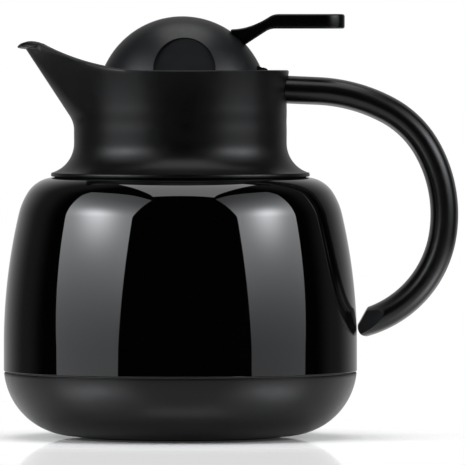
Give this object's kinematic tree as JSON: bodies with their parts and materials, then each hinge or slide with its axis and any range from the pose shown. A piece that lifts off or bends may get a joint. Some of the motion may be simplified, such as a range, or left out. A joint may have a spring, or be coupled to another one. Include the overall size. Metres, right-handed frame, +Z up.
{
  "type": "thermal carafe",
  "caption": "Ball-bodied vacuum jug with a moulded spout collar, loop handle and domed lid that a thumb lever swings up on a rear hinge.",
  "frame": {"origin": "on the jug's vertical axis at the table, the plane of the foot ring", "axes": "+Z up, -X towards the spout, +X towards the handle and the thumb lever, the hinge along Y"},
  "size_m": [0.2058, 0.16, 0.1915],
  "materials": {
    "casing_lacquer": "mirror-gloss black lacquer",
    "matt_moulding": "fine matt black",
    "lid_moulding": "satin black",
    "lever_moulding": "satin black",
    "inner_moulding": "smooth black",
    "black_rubber": "matt",
    "clear_silicone": "milky",
    "grey_felt": "pressed",
    "silvered_glass": "silvered in the vacuum gap",
    "screw_steel": "plain stainless"
  },
  "bodies": {
    "jug": {"outer_casing": "casing_lacquer", "base_thread_ring": "inner_moulding", "seam_seal": "black_rubber", "base_cup": "matt_moulding", "foot_ring": "black_rubber", "liner_outer_bottle": "silvered_glass", "liner_inner_bottle": "silvered_glass", "liner_spacers": "grey_felt", "liner_cushion": "black_rubber", "neck_gasket": "clear_silicone", "collar_gasket": "black_rubber", "collar_clamp_nut": "inner_moulding", "spout_collar": "matt_moulding", "pour_insert": "inner_moulding", "handle": "matt_moulding", "handle_screws": "screw_steel", "hinge_pin": "screw_steel", "closing_spring": "screw_steel"},
    "lid": {"lid_dome": "lid_moulding", "lid_plug": "inner_moulding", "lid_seal": "clear_silicone", "thumb_lever": "lever_moulding", "lever_screws": "screw_steel"}
  },
  "joints": [
    {"name": "lid_hinge", "type": "hinge", "parent": "jug", "child": "lid", "pos_m": [0.0375, 0, 0.1647], "axis": [0, 1, 0], "range_deg": [0, 30], "stiffness_Nm_per_rad": 0.012, "springref_deg": -51.57, "deforming": ["closing_spring"]}
  ]
}
